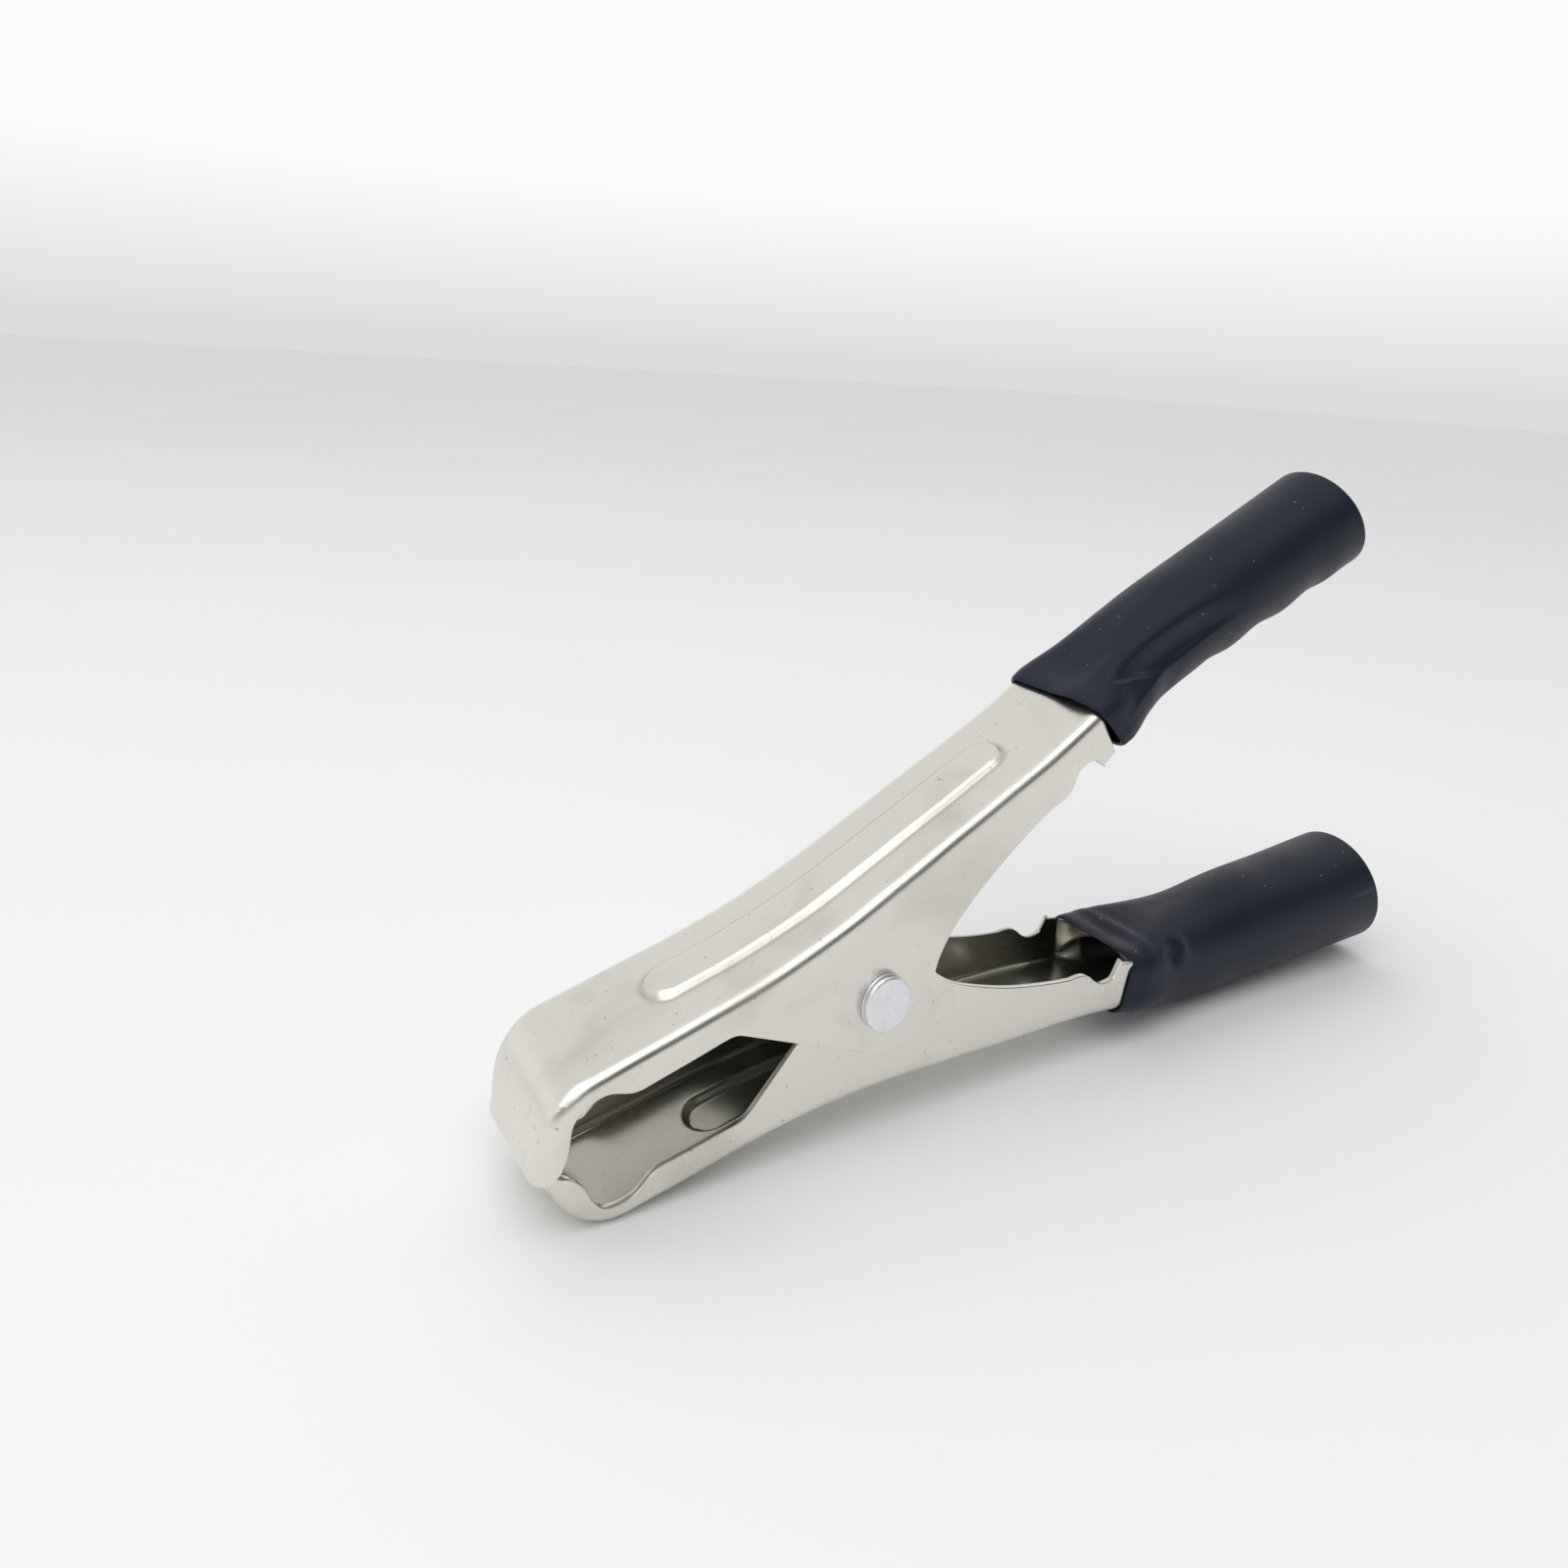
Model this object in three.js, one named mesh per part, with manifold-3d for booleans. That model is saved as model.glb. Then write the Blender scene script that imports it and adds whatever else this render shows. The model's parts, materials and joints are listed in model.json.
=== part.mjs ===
// Spring-loaded welding ground clamp: two pressed-steel jaw halves that share a rivet and a torsion
// spring, each handle covered by a vinyl sleeve.
//
// The halves are drawn in a clamp frame: x runs from the noses (negative) through the pivot (0) to
// the handles (positive), y along the rivet, and z = 0 is the parting plane between closed jaws.
// The upper half is the wider one and its side flanges lie outside those of the lower half.
// The finished group is turned about y so that the clamp lies on a table, +Z up, millimetres.

import * as THREE from 'three';
import { mergeVertices } from 'three/addons/utils/BufferGeometryUtils.js';
import Module from 'manifold-3d';

const wasm = await Module();
wasm.setup();

// ---- driving dimensions (mm, degrees) ----

const SHEET = 0.9;               // steel sheet thickness
const FIT_GAP = 0.3;             // clearance between neighbouring pieces
const UPPER_WIDTH = 20;          // over the flanges of the outer half
const LOWER_WIDTH = UPPER_WIDTH - 2 * (SHEET + FIT_GAP);
const REST_TILT = 13.7;          // the closed clamp lies nose down by this angle

// Distances called from or to are measured along the sheet, from the nose tip of the upper half.
const UPPER = {
  width: UPPER_WIDTH,
  nose: { from: 0, x: -51.6, heading: 73, wall: 4.7, bend: 9.9 },
  toothShift: 0,                 // of the nose tooth, towards the pivot
  ribFrom: 26.4,
  sleeve: { from: 106.2, length: 73 },
};
const LOWER = {
  width: LOWER_WIDTH,
  nose: { from: 1.2, x: -50.7, heading: 68, wall: 5, bend: 10.1 },
  toothShift: 1.3,
  ribFrom: 29,
  sleeve: { from: 104.2, length: 70.5 },
};

const FOLD_RADIUS = 1.8;         // outer radius between web and flange
const NOSE_FOLD_RADIUS = 3.2;    // the same fold at the nose tip
const PARTING_GAP = 0.15;        // each nose stops this far from the parting plane

const RIB_TO = 92.7;             // pressed stiffening rib on the web
const RIB_HALF_WIDTH = 3.8;
const RIB_WALL = 1.2;
const RIB_HEIGHT = 0.9;

const JAW_TO = 33.4;             // straight stretch of the web behind the nose bend
const JAW_HEADING = 2;
const EAR_FROM = 103.4;          // ears that roll inwards to crimp the cable
const EAR_ROLLED = 109.5;
const EAR_TO = 119.5;
const CRIMP_FLAT = 3.3;          // half of the flat between the ears' folds
const CRIMP_RADIUS = 3.7;
const TROUGH_FROM = 121;         // open trough from the ears to the end of the handle
const HANDLE_END = 160;

const RIVET_SHANK_RADIUS = 2.4;
const RIVET_HEAD_RADIUS = 3.9;
const RIVET_HEAD_HEIGHT = 1.1;
const RIVET_RIM_RADIUS = 3.4;
const RIVET_HOLE_RADIUS = RIVET_SHANK_RADIUS + FIT_GAP;

const SPRING_WIRE_RADIUS = 1;
const SPRING_COIL_RADIUS = 6;
const SPRING_HALF_LENGTH = 5.7;  // of the coil, along the rivet
const SPRING_TURNS = 4;          // whole turns on top of the part turn between the legs
const SPRING_LEG_END = new THREE.Vector2(26, 17.4);

const GRIP_WALL = 1.1;
const GRIP_BORE_RADIUS = 7.7;    // just behind the crimp
const GRIP_END_RADIUS = 8.8;     // at the open rear end
const GRIP_BORE_DEPTH = 4.2;     // bore centre below the outer face of the handle web

const ARC_STEPS = 4;             // facets round a sheet fold
const GRIP_CORNER_STEPS = 5;     // facets round a quarter of a sleeve
const OUT_OF_REACH = 70;         // past every edge of the clamp

// ---- side profile of the web, walked from the nose tip to the end of the handle ----

function webLegs({ nose }) {
  const jaw = JAW_TO - nose.from - nose.wall - nose.bend;
  return [
    { length: nose.wall, turn: 0, steps: 1 },
    { length: nose.bend, turn: JAW_HEADING - nose.heading, steps: 7 },
    { length: jaw, turn: 0, steps: 2 },
    { length: 26.3, turn: 11.5, steps: 5 },   // sweep over the pivot
    { length: 30.9, turn: 0, steps: 2 },      // open handle
    { length: 13.9, turn: 5, steps: 3 },      // handle bends further out
    { length: 13.5, turn: 0, steps: 1 },      // crimp
    { length: 17.5, turn: -8.5, steps: 4 },   // handle bends back
    { length: 100, turn: 0, steps: 1 },       // straight to the end
  ];
}

// Point and heading on the web's outer face, a distance s along the sheet.
function webPoint(half, s) {
  let { x } = half.nose;
  let z = PARTING_GAP;
  let heading = THREE.MathUtils.degToRad(half.nose.heading);
  let left = s - half.nose.from;
  for (const leg of webLegs(half)) {
    const walked = Math.min(left, leg.length);
    const turn = THREE.MathUtils.degToRad(leg.turn) * (walked / leg.length);
    const chord = turn === 0 ? walked : (2 * walked * Math.sin(turn / 2)) / turn;
    x += chord * Math.cos(heading + turn / 2);
    z += chord * Math.sin(heading + turn / 2);
    heading += turn;
    left -= walked;
    if (left <= 0) break;
  }
  return { x, z, heading };
}

// Distances along the sheet where the bends are cut into facets.
function bendStations(half) {
  const stations = [half.nose.from];
  let start = half.nose.from;
  for (const leg of webLegs(half)) {
    for (let i = 1; i <= leg.steps; i += 1) {
      stations.push(start + (leg.length * i) / leg.steps);
    }
    start += leg.length;
  }
  return stations.filter((s) => s < HANDLE_END);
}

// ---- cross-section of a half: half of the flat web, a fold, then a straight flange ----

// Rows: distance along the sheet, flat half-width, fold radius, fold angle, straight flange.
// A fold of 90 degrees is a channel; 180 degrees is an ear rolled back over the web.
function sectionKeys({ width, nose }) {
  const flat = width / 2 - FOLD_RADIUS;
  return [
    [nose.from, width / 2 - NOSE_FOLD_RADIUS, NOSE_FOLD_RADIUS, 90, 1.8],
    [nose.from + nose.wall + nose.bend, flat, FOLD_RADIUS, 90, 4],
    [19, flat, FOLD_RADIUS, 90, 8],
    [33.4, flat, FOLD_RADIUS, 90, 12],
    [39, flat, FOLD_RADIUS, 90, 22],
    [60, flat, FOLD_RADIUS, 90, 25],
    [68, flat, FOLD_RADIUS, 90, 23],
    [77, flat, FOLD_RADIUS, 90, 12],
    [100.5, flat, FOLD_RADIUS, 90, 8],
    [EAR_FROM, flat, FOLD_RADIUS, 90, 6.4],
    [EAR_FROM + 2.6, flat - 0.6, FOLD_RADIUS + 0.2, 100, 6],
    [EAR_ROLLED - 1.4, CRIMP_FLAT + 0.8, CRIMP_RADIUS - 0.3, 165, 3],
    [EAR_ROLLED, CRIMP_FLAT, CRIMP_RADIUS, 178, 2],
    [EAR_TO, CRIMP_FLAT, CRIMP_RADIUS, 178, 2],
    [TROUGH_FROM, CRIMP_FLAT, CRIMP_RADIUS, 88, 0.4],
    [HANDLE_END, CRIMP_FLAT, CRIMP_RADIUS, 88, 0.4],
  ];
}

function sectionAt(keys, s) {
  const next = keys.findIndex((key) => key[0] >= s);
  if (next <= 0) return keys[0].slice(1);
  const [before, after] = [keys[next - 1], keys[next]];
  const blend = (s - before[0]) / (after[0] - before[0]);
  return before.slice(1).map((value, i) => THREE.MathUtils.lerp(value, after[i + 1], blend));
}

// Height of the stadium-shaped rib at a point of the web.
function ribHeight({ ribFrom }, s, y) {
  const axis = THREE.MathUtils.clamp(s, ribFrom + RIB_HALF_WIDTH, RIB_TO - RIB_HALF_WIDTH);
  const inside = RIB_HALF_WIDTH - Math.hypot(s - axis, y);
  return RIB_HEIGHT * THREE.MathUtils.clamp(inside / RIB_WALL, 0, 1);
}

// Points of the half section from the centre line to the free edge, as [y, depth below the web].
function sectionPoints(half, s, inset) {
  const [flat, radius, angle, straight] = sectionAt(sectionKeys(half), s);
  const ribTop = RIB_HALF_WIDTH - RIB_WALL;
  const webFlat = half.width / 2 - FOLD_RADIUS;
  const points = [0, ribTop, RIB_HALF_WIDTH, webFlat].map((y) => {
    const across = (y / webFlat) * flat;
    return [across, inset - ribHeight(half, s, across)];
  });
  const fold = THREE.MathUtils.degToRad(angle);
  for (let i = 1; i <= ARC_STEPS; i += 1) {
    const turn = (fold * i) / ARC_STEPS;
    points.push([
      flat + (radius - inset) * Math.sin(turn),
      radius - (radius - inset) * Math.cos(turn),
    ]);
  }
  const [y, depth] = points[points.length - 1];
  points.push([y + straight * Math.cos(fold), depth + straight * Math.sin(fold)]);
  return points;
}

// One row of mesh points across the sheet, from the -y edge to the +y edge.
function sheetRow(half, s, inset) {
  const { x, z, heading } = webPoint(half, s);
  const right = sectionPoints(half, s, inset);
  const left = right.slice(1).reverse().map(([y, depth]) => [-y, depth]);
  return [...left, ...right].map(([y, depth]) => [
    x + depth * Math.sin(heading),
    y,
    z - depth * Math.cos(heading),
  ]);
}

function stationsFor(half) {
  const ribEnd = [0, 0.6, 1.3, 2.4, 3.8];
  const all = [
    ...bendStations(half),
    ...sectionKeys(half).map((key) => key[0]),
    ...ribEnd.map((step) => half.ribFrom + step),
    ...ribEnd.map((step) => RIB_TO - step),
  ].sort((a, b) => a - b);
  return all.filter((s, i) => i === 0 || s - all[i - 1] > 0.25);
}

// ---- mesh helpers ----

// Closed skin of a bent sheet from matching rows of outer and inner points.
function sheetGeometry(outerRows, innerRows) {
  const rows = outerRows.length;
  const columns = outerRows[0].length;
  const positions = [...outerRows, ...innerRows].flat(2);
  const index = [];
  const outer = (row, column) => row * columns + column;
  const inner = (row, column) => (rows + row) * columns + column;
  const quad = (a, b, c, d) => index.push(a, b, c, a, c, d);
  for (let row = 0; row < rows - 1; row += 1) {
    for (let column = 0; column < columns - 1; column += 1) {
      quad(outer(row, column), outer(row + 1, column), outer(row + 1, column + 1), outer(row, column + 1));
      quad(inner(row, column), inner(row, column + 1), inner(row + 1, column + 1), inner(row + 1, column));
    }
    const last = columns - 1;
    quad(outer(row, 0), inner(row, 0), inner(row + 1, 0), outer(row + 1, 0));
    quad(outer(row, last), outer(row + 1, last), inner(row + 1, last), inner(row, last));
  }
  for (let column = 0; column < columns - 1; column += 1) {
    const end = rows - 1;
    quad(outer(0, column), outer(0, column + 1), inner(0, column + 1), inner(0, column));
    quad(outer(end, column), inner(end, column), inner(end, column + 1), outer(end, column + 1));
  }
  const geometry = new THREE.BufferGeometry();
  geometry.setAttribute('position', new THREE.Float32BufferAttribute(positions, 3));
  geometry.setIndex(index);
  return geometry;
}

// Closed skin of a tube from matching rings of outer and inner points.
function tubeGeometry(outerRings, innerRings) {
  const rings = outerRings.length;
  const around = outerRings[0].length;
  const positions = [...outerRings, ...innerRings].flat(2);
  const index = [];
  const outer = (ring, i) => ring * around + (i % around);
  const inner = (ring, i) => (rings + ring) * around + (i % around);
  const quad = (a, b, c, d) => index.push(a, c, b, a, d, c);
  for (let i = 0; i < around; i += 1) {
    for (let ring = 0; ring < rings - 1; ring += 1) {
      quad(outer(ring, i), outer(ring, i + 1), outer(ring + 1, i + 1), outer(ring + 1, i));
      quad(inner(ring, i), inner(ring + 1, i), inner(ring + 1, i + 1), inner(ring, i + 1));
    }
    const end = rings - 1;
    quad(outer(0, i), inner(0, i), inner(0, i + 1), outer(0, i + 1));
    quad(outer(end, i), outer(end, i + 1), inner(end, i + 1), inner(end, i));
  }
  const geometry = new THREE.BufferGeometry();
  geometry.setAttribute('position', new THREE.Float32BufferAttribute(positions, 3));
  geometry.setIndex(index);
  return geometry;
}

function toManifold(geometry) {
  const bare = geometry.clone();
  bare.deleteAttribute('normal');
  bare.deleteAttribute('uv');
  const merged = mergeVertices(bare, 1e-4);
  return new wasm.Manifold(new wasm.Mesh({
    numProp: 3,
    vertProperties: new Float32Array(merged.attributes.position.array),
    triVerts: new Uint32Array(merged.index.array),
  }));
}

function fromManifold(solid) {
  const mesh = solid.getMesh();
  const geometry = new THREE.BufferGeometry();
  geometry.setAttribute('position', new THREE.Float32BufferAttribute(mesh.vertProperties, 3));
  geometry.setIndex([...mesh.triVerts]);
  return geometry;
}

// ---- jaw halves ----

const EDGE = {
  slope: Math.atan2(-6.1, 9.3),     // of the slanted edge between jaw and pivot
  lobeCentre: 1.2,
  lobeRadius: 7.9,
};

// Everything of a half that is kept, seen from the side: the region above the flange edge.
function flangeOutline({ toothShift }) {
  const lobeStart = EDGE.slope - Math.PI / 2;
  const lobeEnd = THREE.MathUtils.degToRad(-12);
  const shape = new THREE.Shape();
  shape.moveTo(-OUT_OF_REACH, PARTING_GAP);
  shape.lineTo(-50.4 + toothShift, PARTING_GAP);
  const tooth = (...xz) => shape.bezierCurveTo(...xz.map((v, i) => (i % 2 ? v : v + toothShift)));
  tooth(-47.8, 1.2, -47.1, 2.2, -46.3, 5);                        // back of the nose tooth
  tooth(-45.7, 7, -44.2, 7.75, -41.8, 7.75);                      // throat behind it
  tooth(-39.6, 7.7, -38.9, 6, -36.4, 5.95);                       // low step to the straight edge
  shape.lineTo(-24.9, 6.4);
  shape.quadraticCurveTo(-23.3, 6.5, -22.2, 5.95);
  shape.absarc(EDGE.lobeCentre, 0, EDGE.lobeRadius, lobeStart, lobeEnd, false);
  shape.bezierCurveTo(9.4, 0.6, 11.6, 3.4, 15.2, 5.7);            // rises from the lobe
  shape.bezierCurveTo(20, 8.7, 28, 12.6, 36, 15);                 // along the handle
  shape.bezierCurveTo(41, 15.4, 39.6, 17.8, 42.4, 18.8);          // shoulder before the notch
  shape.lineTo(45, 18.9);                                         // notch
  shape.lineTo(46.5, 17.5);                                       // front corner of the ear
  shape.lineTo(46.5, -OUT_OF_REACH);
  shape.lineTo(2 * OUT_OF_REACH, -OUT_OF_REACH);
  shape.lineTo(2 * OUT_OF_REACH, OUT_OF_REACH);
  shape.lineTo(-OUT_OF_REACH, OUT_OF_REACH);
  shape.closePath();
  return shape;
}

function flangeCutter(half) {
  const geometry = new THREE.ExtrudeGeometry(flangeOutline(half), {
    depth: 2 * UPPER_WIDTH,
    bevelEnabled: false,
    curveSegments: 8,
  });
  geometry.rotateX(Math.PI / 2);
  geometry.translate(0, UPPER_WIDTH, 0);
  return toManifold(geometry);
}

// One bent half, drawn as the upper one, with its flange edges and rivet holes cut.
function jawGeometry(half) {
  const stations = stationsFor(half);
  const outerRows = stations.map((s) => sheetRow(half, s, 0));
  const innerRows = stations.map((s) => sheetRow(half, s, SHEET));
  const hole = new THREE.CylinderGeometry(RIVET_HOLE_RADIUS, RIVET_HOLE_RADIUS, 2 * UPPER_WIDTH, 24);
  const solid = toManifold(sheetGeometry(outerRows, innerRows))
    .intersect(flangeCutter(half))
    .subtract(toManifold(hole));
  return fromManifold(solid);
}

// ---- rivet: flat head on the -y side, rolled semi-tubular end on the +y side ----

function rivetGeometry() {
  const seat = UPPER_WIDTH / 2 + FIT_GAP;
  const top = seat + RIVET_HEAD_HEIGHT;
  const profile = [
    [0, -top],
    [RIVET_HEAD_RADIUS - 0.6, -top],
    [RIVET_HEAD_RADIUS - 0.15, -top + 0.2],
    [RIVET_HEAD_RADIUS, -top + 0.5],
    [RIVET_HEAD_RADIUS, -seat],
    [RIVET_SHANK_RADIUS, -seat],
    [RIVET_SHANK_RADIUS, seat],
    [RIVET_RIM_RADIUS, seat],
    [RIVET_RIM_RADIUS, seat + 0.4],
    [RIVET_RIM_RADIUS - 0.4, seat + 0.9],
    [RIVET_RIM_RADIUS - 0.9, seat + 0.9],
    [RIVET_RIM_RADIUS - 1.6, seat],
    [RIVET_RIM_RADIUS - 1.9, seat - 2],
    [0, seat - 2],
  ];
  return new THREE.LatheGeometry(profile.map(([r, y]) => new THREE.Vector2(r, y)), 28);
}

// ---- torsion spring: a coil round the rivet with one leg under each handle web ----

class SpringWire extends THREE.Curve {
  constructor() {
    super();
    const reach = SPRING_LEG_END.length();
    const aim = SPRING_LEG_END.angle();
    this.start = aim + Math.acos(SPRING_COIL_RADIUS / reach);
    this.sweep = 2 * (Math.PI - this.start) + SPRING_TURNS * 2 * Math.PI;
    this.leg = Math.sqrt(reach ** 2 - SPRING_COIL_RADIUS ** 2);
    this.coil = this.sweep * SPRING_COIL_RADIUS;
  }

  getPoint(t) {
    const along = t * (2 * this.leg + this.coil) - this.leg;
    const wound = THREE.MathUtils.clamp(along, 0, this.coil);
    const over = along - wound;
    const angle = this.start + wound / SPRING_COIL_RADIUS;
    const y = SPRING_HALF_LENGTH * (1 - (2 * wound) / this.coil);
    return new THREE.Vector3(
      SPRING_COIL_RADIUS * Math.cos(angle) - over * Math.sin(angle),
      y,
      SPRING_COIL_RADIUS * Math.sin(angle) + over * Math.cos(angle),
    );
  }
}

function springGeometry() {
  const wire = new THREE.Shape();
  wire.absarc(0, 0, SPRING_WIRE_RADIUS, 0, 2 * Math.PI, false);
  return new THREE.ExtrudeGeometry(wire, {
    extrudePath: new SpringWire(),
    steps: 84,
    curveSegments: 4,
    bevelEnabled: false,
  });
}

// ---- vinyl sleeves ----

// Rows: distance from the mouth, bore half-width, bore half-height, corner radius, bore centre
// below the web, and how far the ring leans back per millimetre of depth.
function gripKeys({ width, sleeve }) {
  const mouth = width / 2 + FIT_GAP;
  const back = sleeve.length;
  const round = (along, radius) => [along, radius, radius, radius - 0.1, GRIP_BORE_DEPTH, 0];
  return [
    [0, mouth, 4.2, 2, 3.9, 0.24],
    [4, mouth - 0.4, 4.2, 2.4, 3.9, 0.18],
    [8.5, 8.8, 5, 3.8, 4, 0.08],
    [13.5, 8, 6.2, 5.6, 4.1, 0],
    [20, GRIP_BORE_RADIUS, 7.1, 6.9, GRIP_BORE_DEPTH, 0],
    round(30, GRIP_BORE_RADIUS),
    round(back - 30, GRIP_BORE_RADIUS + 0.3),
    round(back - 15, GRIP_END_RADIUS - 0.4),
    round(back, GRIP_END_RADIUS),
  ];
}

// One ring of the sleeve, a rounded rectangle square to the handle, pushed out by grow.
function gripRing(half, [along, halfWidth, halfHeight, corner, centre, lean], grow) {
  const { x, z, heading } = webPoint(half, half.sleeve.from + along);
  const ring = [];
  for (let quarter = 0; quarter < 4; quarter += 1) {
    const signY = quarter === 0 || quarter === 3 ? 1 : -1;
    const signDown = quarter < 2 ? 1 : -1;
    for (let i = 0; i <= GRIP_CORNER_STEPS; i += 1) {
      const angle = (Math.PI / 2) * (quarter + i / GRIP_CORNER_STEPS);
      const y = signY * (halfWidth - corner) + (corner + grow) * Math.cos(angle);
      const down = signDown * (halfHeight - corner) + (corner + grow) * Math.sin(angle);
      const back = lean * (down + halfHeight);
      const depth = centre + down;
      ring.push([
        x + depth * Math.sin(heading) + back * Math.cos(heading),
        y,
        z - depth * Math.cos(heading) + back * Math.sin(heading),
      ]);
    }
  }
  return ring;
}

function gripGeometry(half) {
  const keys = gripKeys(half);
  return tubeGeometry(
    keys.map((key) => gripRing(half, key, GRIP_WALL)),
    keys.map((key) => gripRing(half, key, 0)),
  );
}

// ---- materials ----

function steel(colour, roughness) {
  return new THREE.MeshStandardMaterial({ color: colour, roughness, metalness: 1 });
}

function vinyl() {
  return new THREE.MeshStandardMaterial({ color: 0x1f2430, roughness: 0.55, metalness: 0 });
}

// ---- assembly ----

function piece(name, geometry, material) {
  const mesh = new THREE.Mesh(geometry, material);
  mesh.name = name;
  return mesh;
}

const upperHalf = new THREE.Group();
upperHalf.add(
  piece('upper_jaw', jawGeometry(UPPER), steel(0xd3d0ca, 0.3)),
  piece('upper_grip', gripGeometry(UPPER), vinyl()),
);

const lowerHalf = new THREE.Group();
lowerHalf.rotation.x = Math.PI;
lowerHalf.add(
  piece('lower_jaw', jawGeometry(LOWER), steel(0xd3d0ca, 0.3)),
  piece('lower_grip', gripGeometry(LOWER), vinyl()),
);

const tilted = new THREE.Group();
tilted.rotation.y = THREE.MathUtils.degToRad(-REST_TILT);
tilted.add(
  upperHalf,
  lowerHalf,
  piece('pivot_rivet', rivetGeometry(), steel(0xdcdce0, 0.22)),
  piece('torsion_spring', springGeometry(), steel(0x8f9296, 0.35)),
);

// The origin is under the middle of the resting clamp.
const clamp = new THREE.Group();
clamp.add(tilted);
clamp.updateMatrixWorld(true);
const box = new THREE.Box3().setFromObject(tilted, true);
const middle = box.getCenter(new THREE.Vector3());
tilted.position.set(-middle.x, -middle.y, -box.min.z);
clamp.updateMatrixWorld(true);

export default clamp;
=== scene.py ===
# Visual model of a spring-loaded welding ground clamp.
#
# Shapes are worked out in the clamp frame, in millimetres: x runs from the noses (negative) through
# the pivot (0) to the handles, y along the rivet, and z = 0 is the parting plane between the closed
# jaws. to_row_frame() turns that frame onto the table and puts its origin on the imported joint.

import json
from math import cos, pi, radians, sin, sqrt

import bpy
import numpy as np
from mathutils import Euler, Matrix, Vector


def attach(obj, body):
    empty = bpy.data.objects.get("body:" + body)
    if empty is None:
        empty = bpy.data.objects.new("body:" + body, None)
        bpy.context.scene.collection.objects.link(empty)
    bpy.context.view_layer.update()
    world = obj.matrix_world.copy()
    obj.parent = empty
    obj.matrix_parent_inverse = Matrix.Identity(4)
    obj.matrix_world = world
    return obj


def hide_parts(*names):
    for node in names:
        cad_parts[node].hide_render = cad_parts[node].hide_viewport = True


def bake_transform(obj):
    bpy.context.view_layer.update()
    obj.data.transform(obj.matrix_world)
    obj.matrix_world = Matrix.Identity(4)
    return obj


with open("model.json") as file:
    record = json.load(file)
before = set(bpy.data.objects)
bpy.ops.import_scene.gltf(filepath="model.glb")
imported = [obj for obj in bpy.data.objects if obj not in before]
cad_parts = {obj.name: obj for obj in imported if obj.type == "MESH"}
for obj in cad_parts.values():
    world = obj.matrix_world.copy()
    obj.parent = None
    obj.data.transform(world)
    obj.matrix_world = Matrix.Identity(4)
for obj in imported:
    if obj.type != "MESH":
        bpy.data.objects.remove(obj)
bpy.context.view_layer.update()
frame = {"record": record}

# ---- dimensions (mm, degrees), mostly those of the CAD ----
#
# Distances called from or to are measured along the sheet, from the nose tip of the upper half.

SHEET = 0.9                 # steel sheet thickness
FIT_GAP = 0.3               # clearance between neighbouring pieces
UPPER_WIDTH = 20
LOWER_WIDTH = UPPER_WIDTH - 2 * (SHEET + FIT_GAP)
REST_TILT = 13.7            # the closed clamp lies nose down by this angle
FOLD_RADIUS = 1.8
NOSE_FOLD_RADIUS = 3.2
PARTING_GAP = 0.15          # each nose stops this far from the parting plane
EDGE_ROUNDING = 0.14        # of the sheet's free edge

RIB_TO = 92.7
RIB_HALF_WIDTH = 3.8
RIB_WALL = 1.15
RIB_HEIGHT = 0.9

JAW_TO = 33.4
EAR_FROM = 103.4
EAR_ROLLED = 109.5
EAR_TO = 119.5
TROUGH_FROM = 121
HANDLE_END = 160
CRIMP_FLAT = 3.3            # half of the flat between the ears' folds
CRIMP_RADIUS = 3.7

RIVET_SHANK_RADIUS = 2.4
RIVET_HEAD_RADIUS = 3.9
RIVET_HEAD_HEIGHT = 1.1
RIVET_RIM_RADIUS = 3.4
RIVET_HOLE_GAP = 0.12       # between the shank and the holes, less than in the CAD

SPRING_WIRE_RADIUS = 1.0
SPRING_COIL_RADIUS = 6.0
SPRING_HALF_LENGTH = 5.7
SPRING_TURNS = 4
SPRING_LEG_END = (26.0, 17.4)

GRIP_WALL = 1.1
GRIP_BORE_RADIUS = 7.7
GRIP_END_RADIUS = 8.8
GRIP_BORE_DEPTH = 4.2       # bore centre below the outer face of the handle web
GRIP_MOUTH_GAP = 0.1        # between the sleeve's mouth and the sheet

UPPER = dict(name="upper", body="upper_half", sign=1, width=UPPER_WIDTH, tooth_shift=0,
             nose=dict(start=0, x=-51.6, heading=73, wall=4.7, bend=9.9),
             rib_from=26.4, sleeve_from=106.2, sleeve_length=73)
LOWER = dict(name="lower", body="lower_half", sign=-1, width=LOWER_WIDTH, tooth_shift=1.3,
             nose=dict(start=1.2, x=-50.7, heading=68, wall=5, bend=10.1),
             rib_from=29, sleeve_from=104.2, sleeve_length=70.5)

PIVOT = np.array(frame["record"]["behaviour"]["joints"][0]["pos_m"])


# ---- frames and meshes ----

def to_row_frame(points, sign=1):
    """Clamp frame (mm) to row frame (m). sign = -1 turns the drawn upper half into the lower one."""
    p = np.asarray(points, float) * np.array([1, sign, sign]) / 1000
    tilt = radians(REST_TILT)
    x = p[..., 0] * cos(tilt) - p[..., 2] * sin(tilt)
    z = p[..., 0] * sin(tilt) + p[..., 2] * cos(tilt)
    return np.stack([x, p[..., 1], z], axis=-1) + PIVOT


def smooth(edge_a, edge_b, value):
    t = np.clip((value - edge_a) / (edge_b - edge_a), 0, 1)
    return t * t * (3 - 2 * t)


def bump(value, centre, width):
    return np.exp(-(((value - centre) / width) ** 2))


def soften(values, steps):
    """Running mean that keeps the ends."""
    if steps < 2:
        return values
    padded = np.pad(values, steps, mode="edge")
    kernel = np.ones(2 * steps + 1) / (2 * steps + 1)
    return np.convolve(padded, kernel, mode="valid")


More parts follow.
